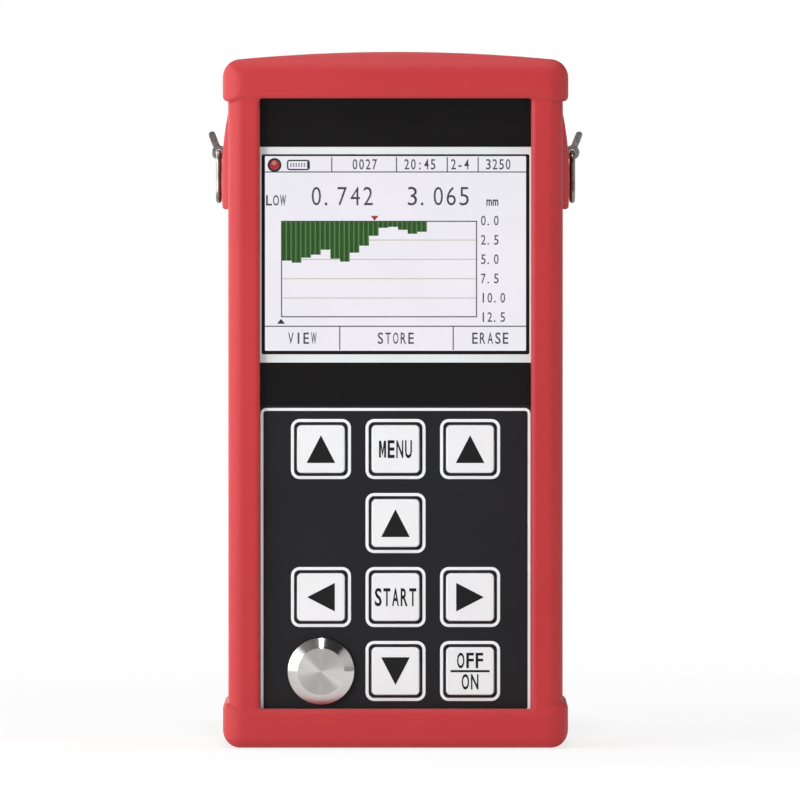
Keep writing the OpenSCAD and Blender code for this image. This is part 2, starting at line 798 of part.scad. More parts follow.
// Door that turns on two pins at its lower edge, with grooves for the thumb under its screw
module battery_door() {
    top = door_z1 - door_axis_z;
    color("#2b2b2d") difference() {
        union() {
            along_x(-door_w / 2, door_w / 2) translate([door_axis_y, door_axis_z]) {
                circle(door_t / 2);
                translate([-door_t / 2, 0]) square([door_t, top]);
            }
            along_x(-door_w / 2 - door_pin_l, door_w / 2 + door_pin_l)
                translate([door_axis_y, door_axis_z]) circle(door_pin_r);
        }
        for (s = [0, 1]) mirror([s, 0, 0]) along_y(back_y - door_t - 1, back_y + 1)
            translate([-door_w / 2, door_z1]) mirror([0, 1]) corner_scrap(door_corner_r);
        rod(0, door_screw_z, door_screw_d / 2 + slide_fit, back_y - door_t - 1, back_y + 1);
        rod(0, door_screw_z, door_head_d / 2 + slide_fit, back_y - door_head_t - 0.1, back_y + 1);
        for (i = [0:door_grooves - 1]) along_y(back_y - door_groove_deep, back_y + 1)
            translate([0, door_screw_z - door_groove_down - i * door_groove_step])
                square([door_groove_w, door_groove_h], center = true);
    }
}

module door_screw() {
    head_y = back_y - door_head_t - 0.05;
    color("#a6a8ab") translate([0, 0, door_screw_z]) difference() {
        union() {
            rod(0, 0, door_screw_d / 2, back_y - door_t - door_shank_l, head_y + 0.5);
            rod(0, 0, door_head_d / 2, head_y, head_y + door_head_t);
        }
        translate([0, head_y + door_head_t, 0]) cube([door_head_d + 1, 1, 1], center = true);
    }
}

// Steel lug: foot inside the case, root through the wall, eye for the ring, leaning tip
module strap_lug(side) {
    root_x0 = case_w / 2 - case_wall - lug_foot_t;
    color("#b7b5b0") mirror([side < 0 ? 1 : 0, 0, 0]) {
        difference() {
            along_y(lug_y - lug_t / 2, lug_y + lug_t / 2) translate([0, lug_z]) {
                translate([root_x0, -lug_root_h / 2]) square([lug_x - root_x0, lug_root_h]);
                translate([lug_x, 0]) {
                    circle(lug_eye_r);
                    rotate(-lug_lean) {
                        translate([-lug_tip_r, 0]) square([2 * lug_tip_r, lug_tip_l]);
                        translate([0, lug_tip_l]) circle(lug_tip_r);
                    }
                }
            }
            rod(lug_x, lug_z, lug_hole_r, lug_y - lug_t, lug_y + lug_t);
        }
        translate([root_x0 + lug_foot_t / 2, lug_y, lug_z])
            cube([lug_foot_t, lug_foot_d, lug_foot_h], center = true);
    }
}

// Quarter bend of wire in the plane of a ring
module wire_bend(y, z, turn) {
    translate([0, y, z]) rotate([turn, 0, 0]) rotate([0, 90, 0])
        rotate_extrude(angle = 90) translate([ring_bend, 0]) circle(wire_dia / 2, $fn = 32);
}

// Wire ring that hangs in the lug's eye
module strap_ring(side) {
    r = wire_dia / 2;
    half = ring_w / 2;
    color("#b7b5b0") translate([side * lug_x, lug_y, lug_z]) {
        for (z = [0, -ring_len]) rod(0, z, r, ring_bend - half, half - ring_bend);
        for (s = [-1, 1]) translate([0, s * half, ring_bend - ring_len])
            cylinder(r = r, h = ring_len - 2 * ring_bend);
        wire_bend(half - ring_bend, -ring_bend, 90);
        wire_bend(half - ring_bend, ring_bend - ring_len, 0);
        wire_bend(ring_bend - half, ring_bend - ring_len, 270);
        wire_bend(ring_bend - half, -ring_bend, 180);
    }
}

protective_boot();
front_shell();
rear_shell();
case_seal();
case_screws();
display_window();
display_gasket();
display_frame();
display_glass();
keypad_panel();
keypad_mat();
keypad_board();
main_board();
shield_can();
board_screws();
for (k = KEYS) key(k[1], k[2]);
calibration_disc();
probe_socket(-1);  // probe_socket_left
probe_socket(1);  // probe_socket_right
socket_cores();
socket_nuts();
battery_cell(-1, 1);  // battery_cell_left
battery_cell(1, -1);  // battery_cell_right
battery_springs();
battery_contacts();
battery_door();
door_screw();
strap_lug(-1);  // strap_lug_left
strap_lug(1);  // strap_lug_right
strap_ring(-1);  // strap_ring_left
strap_ring(1);  // strap_ring_right
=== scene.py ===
"""Hand-held ultrasonic thickness gauge in a red rubber boot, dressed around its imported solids.

Sizes are in millimetres in the part's own frame: X across the face, -Y towards the reader, Z up.
Those of the studio are in metres.
"""

import math

import bmesh
import bpy
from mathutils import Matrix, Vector


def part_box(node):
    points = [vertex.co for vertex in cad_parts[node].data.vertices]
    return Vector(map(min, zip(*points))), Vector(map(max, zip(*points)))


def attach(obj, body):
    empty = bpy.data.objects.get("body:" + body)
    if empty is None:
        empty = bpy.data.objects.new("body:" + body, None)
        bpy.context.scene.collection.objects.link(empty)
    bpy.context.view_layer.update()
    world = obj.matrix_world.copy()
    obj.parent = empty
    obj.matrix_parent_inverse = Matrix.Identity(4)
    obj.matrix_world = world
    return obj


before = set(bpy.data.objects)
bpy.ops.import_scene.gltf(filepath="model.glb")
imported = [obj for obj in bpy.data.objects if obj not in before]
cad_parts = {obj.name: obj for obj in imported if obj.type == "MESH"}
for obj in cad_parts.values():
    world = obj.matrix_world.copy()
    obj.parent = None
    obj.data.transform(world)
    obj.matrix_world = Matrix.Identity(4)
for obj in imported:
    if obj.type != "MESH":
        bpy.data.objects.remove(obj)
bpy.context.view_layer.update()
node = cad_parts


# Case halves
# Two moulded shells of black plastic with a fine spark-eroded grain.
# They close on a seal and carry everything else; the boot hides all but the back.
MM = 0.001
SHELL_BLACK = (0.017, 0.0165, 0.018)
SHELL_GRAIN = 0.6
SHELL_RAISED = 0.1
SHELL_MOTTLE = 0.25
MOTTLE_ACROSS = 1.2
SHELL_EDGE = 0.3
EVEN = (1.0, 1.0, 1.0)
CLOUD = (0.25, 0.75)
FULL = (0.0, 1.0)
BROAD_DETAIL = 4.0
FINE_DETAIL = 2.0
POLISH_SWING = 0.06
GRAIN_STRENGTH = 0.6
EDGE_RAYS = 6


def feed(tree, socket, value):
    """Sets a socket to a number or colour, or links it to the output of another node."""
    if isinstance(value, bpy.types.NodeSocket):
        tree.links.new(value, socket)
    else:
        socket.default_value = value


def placed(tree, **change):
    """The part's own coordinates, with a change of Location, Rotation or Scale."""
    own = tree.nodes.new("ShaderNodeTexCoord")
    moved = tree.nodes.new("ShaderNodeMapping")
    for socket, value in change.items():
        feed(tree, moved.inputs[socket], value)
    feed(tree, moved.inputs["Vector"], own.outputs["Object"])
    return moved.outputs["Vector"]


def noise(tree, grain, detail, stretch=EVEN):
    """Cloudy noise, one grain across."""
    cloud = tree.nodes.new("ShaderNodeTexNoise")
    feed(tree, cloud.inputs["Scale"], 1.0)
    feed(tree, cloud.inputs["Detail"], detail)
    feed(tree, cloud.inputs["Vector"], placed(tree, Scale=[s / (grain * MM) for s in stretch]))
    return cloud.outputs["Fac"]


def ranged(tree, value, given, wanted):
    """A value brought from the range that it is given in to the one that is wanted."""
    made = tree.nodes.new("ShaderNodeMapRange")
    for socket, number in zip(("From Min", "From Max", "To Min", "To Max"), (*given, *wanted)):
        feed(tree, made.inputs[socket], number)
    feed(tree, made.inputs["Value"], value)
    return made.outputs["Result"]


def mixed(tree, share, first, second):
    """Two colours mixed by a share."""
    made = tree.nodes.new("ShaderNodeMix")
    made.data_type = "RGBA"
    feed(tree, made.inputs[0], share)
    feed(tree, made.inputs[6], first)
    feed(tree, made.inputs[7], second)
    return made.outputs[2]


def raised(tree, height, strength, deep):
    """Relief that follows a value, so many millimetres deep at most."""
    made = tree.nodes.new("ShaderNodeBump")
    feed(tree, made.inputs["Strength"], strength)
    feed(tree, made.inputs["Distance"], deep * MM)
    feed(tree, made.inputs["Height"], height)
    return made


def tinted(colour, factor=1.0):
    """A colour with its alpha, made lighter or darker."""
    return [min(1.0, c * factor) for c in colour] + [1.0]


def blank(name):
    """A new material, its node tree and its shader."""
    made = bpy.data.materials.new(name)
    made.use_nodes = True
    return made, made.node_tree, made.node_tree.nodes["Principled BSDF"]


def finish(name, colour, rough, grain, height=0.02, uneven=0.08, metallic=0.0, shine=0.5, soft_edge=0.0,
           blotch=12.0, stretch=EVEN):
    """A finish with uneven colour, uneven polish and a raised grain."""
    made, tree, shader = blank(name)
    shader.inputs["Metallic"].default_value = metallic
    shader.inputs["Specular IOR Level"].default_value = shine
    patches = ranged(tree, noise(tree, blotch, BROAD_DETAIL), CLOUD, FULL)
    shade = mixed(tree, patches, tinted(colour, 1.0 - uneven), tinted(colour, 1.0 + uneven))
    feed(tree, shader.inputs["Base Color"], shade)
    fine = noise(tree, grain, FINE_DETAIL, stretch)
    polish = ranged(tree, fine, CLOUD, (rough - POLISH_SWING, min(1.0, rough + POLISH_SWING)))
    feed(tree, shader.inputs["Roughness"], polish)
    relief = raised(tree, fine, GRAIN_STRENGTH, height)
    if soft_edge:
        eased = tree.nodes.new("ShaderNodeBevel")
        eased.samples = EDGE_RAYS
        feed(tree, eased.inputs["Radius"], soft_edge * MM)
        feed(tree, relief.inputs["Normal"], eased.outputs["Normal"])
    feed(tree, shader.inputs["Normal"], relief.outputs["Normal"])
    return made


def wear(material, *names):
    """Gives CAD nodes their finish."""
    for name in names:
        node[name].data.materials.clear()
        node[name].data.materials.append(material)


shell_plastic = finish("shell_plastic", SHELL_BLACK, rough=0.5, grain=SHELL_GRAIN, height=SHELL_RAISED,
                       uneven=SHELL_MOTTLE, soft_edge=SHELL_EDGE, blotch=MOTTLE_ACROSS)
wear(shell_plastic, "front_shell", "rear_shell")


# Seal and case screws
# A flat ring of black rubber between the halves, and four zinc-plated screws driven from the back.
# The screws sit at the bottom of deep holes and are turned with a cross driver.
SEAL_BLACK = (0.02, 0.02, 0.021)
ZINC = (0.5, 0.5, 0.51)

seal_rubber = finish("seal_rubber", SEAL_BLACK, rough=0.7, grain=0.5)
wear(seal_rubber, "case_seal")


def zinc_plate(name):
    return finish(name, ZINC, rough=0.32, grain=0.12, height=0.01, uneven=0.1, metallic=1.0, soft_edge=0.12,
                  blotch=2.0)


wear(zinc_plate("screw_zinc"), "case_screws", "board_screws")


# Circuit boards and shield can
# Glass-fibre boards under green resist, with the copper runs showing through as paler lines.
# A tinned can covers the pulser; both boards are screwed to posts of the front shell.
RESIST_GREEN = (0.022, 0.105, 0.04)
RUN_GREEN = (0.04, 0.17, 0.06)
TIN = (0.62, 0.63, 0.64)
RUN_PITCH = 1.27
RUN_WIDE = 0.127
RUN_LONG = 4 * RUN_PITCH
RESIST_LIFT = 1.25


def board_resist():
    """Green resist over runs that follow the board's face."""
    made = finish("board_resist", RESIST_GREEN, rough=0.35, grain=0.4, height=0.01)
    tree = made.node_tree
    runs = tree.nodes.new("ShaderNodeTexBrick")
    feed(tree, runs.inputs["Color1"], tinted(RESIST_GREEN))
    feed(tree, runs.inputs["Color2"], tinted(RESIST_GREEN, RESIST_LIFT))
    feed(tree, runs.inputs["Mortar"], tinted(RUN_GREEN))
    feed(tree, runs.inputs["Scale"], 1.0)
    feed(tree, runs.inputs["Mortar Size"], RUN_WIDE * MM)
    feed(tree, runs.inputs["Brick Width"], RUN_LONG * MM)
    feed(tree, runs.inputs["Row Height"], RUN_PITCH * MM)
    feed(tree, runs.inputs["Vector"], placed(tree, Rotation=(math.radians(90), 0, 0)))
    feed(tree, tree.nodes["Principled BSDF"].inputs["Base Color"], runs.outputs["Color"])
    return made


wear(board_resist(), "main_board", "keypad_board")
tin_plate = finish("tin_plate", TIN, rough=0.36, grain=0.3, height=0.01, uneven=0.06, metallic=1.0,
                   soft_edge=0.2)
wear(tin_plate, "shield_can")


# Display: gasket, tray and lit glass
# A colour panel of laminated glass in a pressed tray, sealed to the case by a foam gasket.
# Its light comes from behind, so the drawing on it is seen by its own glow.
TRAY = (0.6, 0.61, 0.62)
UNLIT = (0.01, 0.01, 0.012)
GLASS_ROUGH = 0.3
GLOW_BLOTCH = 18.0
GLOW_DETAIL = 1.0
LIT_WHITE = (0.93, 0.9, 0.96)
LIT_EDGE = (0.88, 0.87, 0.93)
LIT_W = 57.4
LIT_H = 42.8
DOTS_ACROSS = 262
DOT = LIT_W / DOTS_ACROSS

wear(seal_rubber, "display_gasket")
tray_aluminium = finish("tray_aluminium", TRAY, rough=0.34, grain=0.2, height=0.01, uneven=0.05, metallic=1.0)
wear(tray_aluminium, "display_frame")


def glow(name, colour, edge):
    """A colour that the screen shows by its own light, a little uneven over the panel."""
    made, tree, shader = blank(name)
    shader.inputs["Base Color"].default_value = tinted(UNLIT)
    shader.inputs["Roughness"].default_value = GLASS_ROUGH
    shader.inputs["Emission Strength"].default_value = 1.0
    patches = ranged(tree, noise(tree, GLOW_BLOTCH, GLOW_DETAIL), CLOUD, FULL)
    feed(tree, shader.inputs["Emission Color"], mixed(tree, patches, edge, tinted(colour)))
    return made


def front_of(name):
    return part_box(name)[0].y / MM


def middle_of(name):
    low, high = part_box(name)
    return (low.x + high.x) / 2 / MM, (low.z + high.z) / 2 / MM


wear(glow("screen_white", LIT_WHITE, tinted(LIT_EDGE)), "display_glass")
screen_y = front_of("display_glass")
screen_x, screen_z = middle_of("display_glass")


# Lines and lettering of the screen
# A row of settings, two readings, a scale and three key labels, shown by the dark dots of the panel.
# They are made as thin prints on the glass, placed in dots from its upper left corner.
INK_GREY = (0.042, 0.043, 0.065)
GRID_TAN = (0.62, 0.57, 0.53)
INK_T = 0.02
CAPITAL = 0.682
LETTER_STEPS = 3
LETTER_HALF = 0.5
WELD = 1e-8
NARROW = ".:-1I"
NARROW_SQUEEZE = 0.9
CROWDED = "WNm"
CROWDED_MORE = 0.012
POINT_SHIFT = 0.25
SIGN_SHIFT = 0.5
LINE = 1.1
STATUS_TOP = 1
STATUS_FOOT = 16
STATUS_CELLS = (67, 132, 183, 214)
KEYS_TOP = 171
KEYS_FOOT = 195
KEY_CELLS = (75, 189)
GRAPH_LEFT = 16
GRAPH_TOP = 65
GRAPH_RIGHT = 213
GRAPH_FOOT = 162
GRID_LAYER = 0.5
SCALE_STEPS = 5
SCALE_STEP = 2.5
SCALE_LEFT = 216
SCALE_DROP = 4.5
STATUS_TYPE = {"tall": 10, "pitch": 6.6, "heavy": 0.008}
KEY_TYPE = {"tall": 11, "pitch": 7.7, "heavy": 0.01}
READING_TYPE = {"tall": 18.5, "pitch": 13, "heavy": -0.004}
NOTE_TYPE = {"tall": 10, "pitch": 7, "heavy": 0.014, "fill": 0.86}
UNIT_TYPE = {"tall": 8.5, "pitch": 6.3, "heavy": 0.016, "fill": 0.9}
SCALE_TYPE = {"tall": 9.5, "pitch": 6.5, "heavy": 0.006}
STATUS_BASE = 13.3
KEYS_BASE = 188.5
READING_BASE = 49.5
SCREEN_WORDS = (
    (STATUS_TYPE, STATUS_BASE, (("0027", 87), ("20:45", 139), ("2-4", 186), ("3250", 221))),
    (KEY_TYPE, KEYS_BASE, (("VIEW", 22), ("STORE", 112), ("ERASE", 207))),
    (READING_TYPE, READING_BASE, (("0.742", 45), ("3.065", 141.5))),
    (NOTE_TYPE, READING_BASE, (("LOW", 0.5),)),
    (UNIT_TYPE, READING_BASE, (("mm", 222),)),
)


def rounded(w, h, r=0.0, steps=6):
    """Outline of a rectangle about its middle, with round corners."""
    if r == 0:
        return [(w / 2, -h / 2), (w / 2, h / 2), (-w / 2, h / 2), (-w / 2, -h / 2)]
    turns = [(1, -1, 270), (1, 1, 0), (-1, 1, 90), (-1, -1, 180)]
    points = []
    for sx, sz, start in turns:
        for i in range(steps + 1):
            a = math.radians(start + 90 * i / steps)
            points.append((sx * (w / 2 - r) + r * math.cos(a), sz * (h / 2 - r) + r * math.sin(a)))
    return points


def ring_of(mesh, outline, x, z, y):
    return [mesh.verts.new(((x + px) * MM, y * MM, (z + pz) * MM)) for px, pz in outline]


def wall(mesh, front, back):
    for i in range(len(front)):
        j = (i + 1) % len(front)
        mesh.faces.new((front[j], front[i], back[i], back[j]))


def slab(mesh, outline, x, z, front_y, thick):
    """Closed thin plate with that outline."""
    front = ring_of(mesh, outline, x, z, front_y)
    back = ring_of(mesh, outline, x, z, front_y + thick)
    mesh.faces.new(front)
    mesh.faces.new(back[::-1])
    wall(mesh, front, back)


def band(mesh, outer, inner, x, z, front_y, thick, hole_up=0.0):
    """Closed thin frame between two outlines of as many points, its hole raised above its middle."""
    front = ring_of(mesh, outer, x, z, front_y)
    back = ring_of(mesh, outer, x, z, front_y + thick)
    hole_front = ring_of(mesh, inner, x, z + hole_up, front_y)
    hole_back = ring_of(mesh, inner, x, z + hole_up, front_y + thick)
    wall(mesh, front, back)
    wall(mesh, hole_back, hole_front)
    for i in range(len(front)):
        j = (i + 1) % len(front)
        mesh.faces.new((front[i], front[j], hole_front[j], hole_front[i]))
        mesh.faces.new((back[j], back[i], hole_back[i], hole_back[j]))


def words(mesh, text, height, x, z, front_y, thick, heavy, wide=0.0):
    """Thin solid lettering about x with its base line at z, made to a set width if one is given."""
    curve = bpy.data.curves.new("letters", "FONT")
    curve.body = text
    curve.resolution_u = LETTER_STEPS
    curve.offset = heavy
    curve.extrude = LETTER_HALF
    holder = bpy.data.objects.new("letters", curve)
    cut = bpy.data.meshes.new_from_object(holder)
    xs = [v.co.x for v in cut.vertices]
    middle = (min(xs) + max(xs)) / 2
    scale = height / CAPITAL
    across = wide / (max(xs) - min(xs)) if wide else NARROW_SQUEEZE * scale
    for v in cut.vertices:
        tx, ty, tz = v.co
        y = front_y + (LETTER_HALF - tz) * thick
        v.co = ((x + (tx - middle) * across) * MM, y * MM, (z + ty * scale) * MM)
    mesh.from_mesh(cut)
    bpy.data.meshes.remove(cut)
    bpy.data.objects.remove(holder)
    bpy.data.curves.remove(curve)


def piece(name, mesh, material, body):
    """Closes the mesh up and hands it over as a piece that rides on a body."""
    bmesh.ops.remove_doubles(mesh, verts=mesh.verts, dist=WELD)
    bmesh.ops.recalc_face_normals(mesh, faces=mesh.faces)
    data = bpy.data.meshes.new(name)
    mesh.to_mesh(data)
    mesh.free()
    data.materials.append(material)
    made = bpy.data.objects.new(name, data)
    bpy.context.scene.collection.objects.link(made)
    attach(made, body)


def screen_piece(name, mesh, shade, colour, lift):
    """A drawing on the screen in one shade, lighter here and there by that lift."""
    piece(name, mesh, glow(shade, colour, tinted(colour, lift)), "gauge_body")


def at_dot(x, z):
    """Place of a dot of the screen."""
    return screen_x - LIT_W / 2 + x * DOT, screen_z + LIT_H / 2 - z * DOT


def mark(mesh, outline, x, z, layer=1):
    """A shape printed on the screen, so many layers of ink up."""
    slab(mesh, outline, x, z, screen_y - layer * INK_T, INK_T)


def dots(mesh, left, top, right, foot, layer=1):
    """Filled rectangle between dots of the screen."""
    outline = rounded((right - left) * DOT, (foot - top) * DOT)
    mark(mesh, outline, *at_dot((left + right) / 2, (top + foot) / 2), layer)


def level_line(mesh, left, right, level, layer=1):
    dots(mesh, left, level - LINE / 2, right, level + LINE / 2, layer)


def upright_line(mesh, x, top, foot):
    dots(mesh, x - LINE / 2, top, x + LINE / 2, foot)


def cell_words(mesh, text, left, foot, tall, pitch, heavy, fill=0.72):
    """Lettering on the screen in cells of one width; narrow signs keep their own."""
    for i, letter in enumerate(text):
        shift = POINT_SHIFT if letter == "." else SIGN_SHIFT
        x, z = at_dot(left + (i + shift) * pitch, foot)
        wide = 0.0 if letter in NARROW else fill * pitch * DOT
        stroke = heavy + CROWDED_MORE if letter in CROWDED else heavy
        words(mesh, letter, tall * DOT, x, z, screen_y - INK_T, INK_T, stroke, wide)


def scale_level(step):
    return GRAPH_TOP + step * (GRAPH_FOOT - GRAPH_TOP) / SCALE_STEPS


mesh = bmesh.new()
level_line(mesh, 0, DOTS_ACROSS, STATUS_FOOT)
level_line(mesh, 0, DOTS_ACROSS, KEYS_TOP)
for x in STATUS_CELLS:
    upright_line(mesh, x, STATUS_TOP, STATUS_FOOT - LINE / 2)
for x in KEY_CELLS:
    upright_line(mesh, x, KEYS_TOP + LINE / 2, KEYS_FOOT)
for letters, foot, row in SCREEN_WORDS:
    for text, left in row:
        cell_words(mesh, text, left, foot, **letters)
for i in range(SCALE_STEPS + 1):
    cell_words(mesh, "%.1f" % (i * SCALE_STEP), SCALE_LEFT, scale_level(i) + SCALE_DROP, **SCALE_TYPE)
graph_w = (GRAPH_RIGHT - GRAPH_LEFT) * DOT
graph_h = (GRAPH_FOOT - GRAPH_TOP) * DOT
band(mesh, rounded(graph_w, graph_h), rounded(graph_w - 2 * LINE * DOT, graph_h - 2 * LINE * DOT),
     *at_dot((GRAPH_LEFT + GRAPH_RIGHT) / 2, (GRAPH_TOP + GRAPH_FOOT) / 2), screen_y - INK_T, INK_T)
screen_piece("screen_lines", mesh, "screen_grey", INK_GREY, lift=1.2)

mesh = bmesh.new()
for i in range(1, SCALE_STEPS):
    level_line(mesh, GRAPH_LEFT + LINE, GRAPH_RIGHT - LINE, scale_level(i), GRID_LAYER)
screen_piece("screen_grid", mesh, "screen_tan", GRID_TAN, lift=1.08)


# Bars of the graph
# They hang from the top line of the graph, each made of dark stripes with a pale one beside each.
# Like all that the screen shows, they are thin prints on the glass.
BAR_GREEN = (0.012, 0.07, 0.006)
BAR_PALE = (0.075, 0.19, 0.05)
BAR_DEPTHS = (39, 41, 36, 33, 28, 37, 40, 31, 24, 14, 6, 5, 8, 12, 10)
BAR_W = 9.7
BAR_LAYER = 1.5
STRIPES = 2
STRIPE_W = BAR_W / STRIPES
DARK_SHARE = 0.72

bar_dark = bmesh.new()
bar_pale = bmesh.new()
bar_top = GRAPH_TOP + LINE
for i, depth in enumerate(BAR_DEPTHS):
    for j in range(STRIPES):
        left = GRAPH_LEFT + LINE + i * BAR_W + j * STRIPE_W
        cut = left + DARK_SHARE * STRIPE_W
        dots(bar_dark, left, bar_top, cut, bar_top + depth, BAR_LAYER)
        dots(bar_pale, cut, bar_top, left + STRIPE_W, bar_top + depth, BAR_LAYER)
screen_piece("screen_bars", bar_dark, "screen_green", BAR_GREEN, lift=1.3)
screen_piece("screen_bar_gaps", bar_pale, "screen_pale_green", BAR_PALE, lift=1.2)


# Small marks of the screen
# A red lamp in a dark ring, a red pointer over the graph, a black one under it, and a cell with its charge.
# They are thin prints on the glass too.
MARK_RED = (0.34, 0.026, 0.028)
MARK_BLACK = (0.012, 0.01, 0.02)
MARK_PALE = (0.26, 0.22, 0.34)
LAMP_GLINT = (0.52, 0.18, 0.18)
LAMP = (9.5, 9)
LAMP_R = 5
LAMP_RING_R = 7
LAMP_LAYER = 1.5
GLINT = (9, 7)
GLINT_R = 2.2
GLINT_LAYER = 2
POINTER_W = 8 * DOT
POINTER_H = 5 * DOT
RED_POINTER = (110, 62.5)
BLACK_POINTER = (16, 166)
CELL = (33.5, 9)
CELL_W = 23
CELL_H = 10.5
CELL_R = 2.6
CELL_HOLE_R = 1.2
CELL_LINE = 1.4
CELL_BARS = 6
CELL_BAR_PITCH = 2.7
CELL_BAR_W = 1.3
CELL_BAR_H = 4.2
CELL_BAR_BACK = 0.3
CELL_END_W = 1.6
CELL_END_H = 7
CELL_END_IN = 0.6
CELL_END_T = 0.9 * INK_T


def disc_outline(r, count=32):
    return [(r * math.cos(math.tau * i / count), r * math.sin(math.tau * i / count)) for i in range(count)]


def arrow_outline(w, h):
    return [(-w / 2, -h / 2), (w / 2, -h / 2), (0, h / 2)]


mesh = bmesh.new()
mark(mesh, disc_outline(LAMP_R * DOT), *at_dot(*LAMP), LAMP_LAYER)
downwards = [(x, -z) for x, z in arrow_outline(POINTER_W, POINTER_H)][::-1]
mark(mesh, downwards, *at_dot(*RED_POINTER))
screen_piece("screen_red_marks", mesh, "screen_red", MARK_RED, lift=1.3)

mesh = bmesh.new()
mark(mesh, disc_outline(GLINT_R * DOT), *at_dot(*GLINT), GLINT_LAYER)
screen_piece("screen_lamp_glint", mesh, "screen_glint", LAMP_GLINT, lift=1.1)

cell_x, cell_z = at_dot(*CELL)
mesh = bmesh.new()
for i in range(CELL_BARS):
    x = cell_x + (i - (CELL_BARS - 1) / 2 - CELL_BAR_BACK) * CELL_BAR_PITCH * DOT
    mark(mesh, rounded(CELL_BAR_W * DOT, CELL_BAR_H * DOT), x, cell_z)
screen_piece("screen_pale_marks", mesh, "screen_pale", MARK_PALE, lift=1.1)

mesh = bmesh.new()
mark(mesh, disc_outline(LAMP_RING_R * DOT), *at_dot(*LAMP))
mark(mesh, arrow_outline(POINTER_W, POINTER_H), *at_dot(*BLACK_POINTER))
cell_outline = rounded(CELL_W * DOT, CELL_H * DOT, CELL_R * DOT)
cell_hole = rounded((CELL_W - 2 * CELL_LINE) * DOT, (CELL_H - 2 * CELL_LINE) * DOT, CELL_HOLE_R * DOT)
band(mesh, cell_outline, cell_hole, cell_x, cell_z, screen_y - INK_T, INK_T)
cell_end_x = cell_x + (CELL_W / 2 - CELL_LINE - CELL_END_IN) * DOT
slab(mesh, rounded(CELL_END_W * DOT, CELL_END_H * DOT), cell_end_x, cell_z, screen_y - CELL_END_T, CELL_END_T)
screen_piece("screen_black_marks", mesh, "screen_black", MARK_BLACK, lift=1.5)


# Display window
# A clear acrylic sheet set flush in the face, printed black on its border, with a bright frame line.
# It is glued into the recess of the front shell, and the lip of the boot covers its edges.
CLEAR = (0.99, 0.99, 0.99)
ACRYLIC_IOR = 1.49
SMEAR = 9.0
SMEAR_DETAIL = 5.0
SMEAR_STRETCH = (1.0, 1.0, 0.4)
SMEAR_ROUGH = (0.0, 0.03)
PRINT_BLACK = (0.006, 0.0053, 0.0057)
FRAME_SILVER = (0.72, 0.74, 0.76)
PRINT_T = 0.03
WINDOW_R = 2.0
LIT_R = 0.2
SILVER_R = 0.4
SILVER_W = 60.9
SILVER_TOP = 132.1
SILVER_FOOT = 84.7
SILVER_HOLE_W = 58.9
SILVER_HOLE_TOP = 130.5
SILVER_HOLE_FOOT = 86.5


def clear_acrylic():
    """Clear sheet with faint smears in its gloss."""
    made, tree, shader = blank("clear_acrylic")
    shader.inputs["Base Color"].default_value = tinted(CLEAR)
    shader.inputs["IOR"].default_value = ACRYLIC_IOR
    shader.inputs["Transmission Weight"].default_value = 1.0
    smear = ranged(tree, noise(tree, SMEAR, SMEAR_DETAIL, SMEAR_STRETCH), CLOUD, SMEAR_ROUGH)
    feed(tree, shader.inputs["Roughness"], smear)
    return made


wear(clear_acrylic(), "display_window")
window_low, window_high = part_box("display_window")
window_w = (window_high.x - window_low.x) / MM
window_h = (window_high.z - window_low.z) / MM
window_y = front_of("display_window")
window_x, window_z = middle_of("display_window")
mesh = bmesh.new()
band(mesh, rounded(window_w, window_h, WINDOW_R), rounded(LIT_W, LIT_H, LIT_R), window_x, window_z,
     window_y - PRINT_T, PRINT_T, screen_z - window_z)
border_print = finish("border_print", PRINT_BLACK, rough=0.34, grain=0.5, height=0.004, uneven=0.1,
                      shine=0.15)
piece("window_border", mesh, border_print, "gauge_body")

mesh = bmesh.new()
silver_z = (SILVER_TOP + SILVER_FOOT) / 2
silver_hole_z = (SILVER_HOLE_TOP + SILVER_HOLE_FOOT) / 2
band(mesh, rounded(SILVER_W, SILVER_TOP - SILVER_FOOT, SILVER_R),
     rounded(SILVER_HOLE_W, SILVER_HOLE_TOP - SILVER_HOLE_FOOT, SILVER_R), window_x, silver_z,
     window_y - 2 * PRINT_T, PRINT_T, silver_hole_z - silver_z)
silver_print = finish("silver_print", FRAME_SILVER, rough=0.42, grain=0.15, height=0.004, uneven=0.04)
piece("window_silver_frame", mesh, silver_print, "gauge_body")


# Keypad panel, mat and printed lines
# A black polyester sheet with a soft matte coat, cut out for nine keys and the calibration disc.
# White lines are screen printed on it; a silicone mat with a dome for each key lies behind.
PANEL_BLACK = (0.0125, 0.0118, 0.0135)
PRINT_WHITE = (0.84, 0.85, 0.86)
MAT_GREY = (0.16, 0.165, 0.175)
OUTLINE_W = 59.4
OUTLINE_TOP = 74.7
OUTLINE_FOOT = 7.6
OUTLINE_LINE = 0.62
OUTLINE_R = 1.3
KEY_RING = 13.2
KEY_RING_LINE = 0.66
KEY_RING_R = 1.9
KEYS = ("key_up_left", "key_menu", "key_up_right", "key_up", "key_left", "key_enter", "key_right", "key_down",
        "key_power")

panel_coat = finish("panel_coat", PANEL_BLACK, rough=0.46, grain=0.18, height=0.012, shine=0.2)
wear(panel_coat, "keypad_panel")
wear(finish("mat_silicone", MAT_GREY, rough=0.66, grain=0.4), "keypad_mat")
panel_y = front_of("keypad_panel")


def printed_frame(mesh, x, z, w, h, r, line):
    """A printed line round a field of the panel."""
    inside = rounded(w - 2 * line, h - 2 * line, r - line)
    band(mesh, rounded(w, h, r), inside, x, z, panel_y - PRINT_T, PRINT_T)


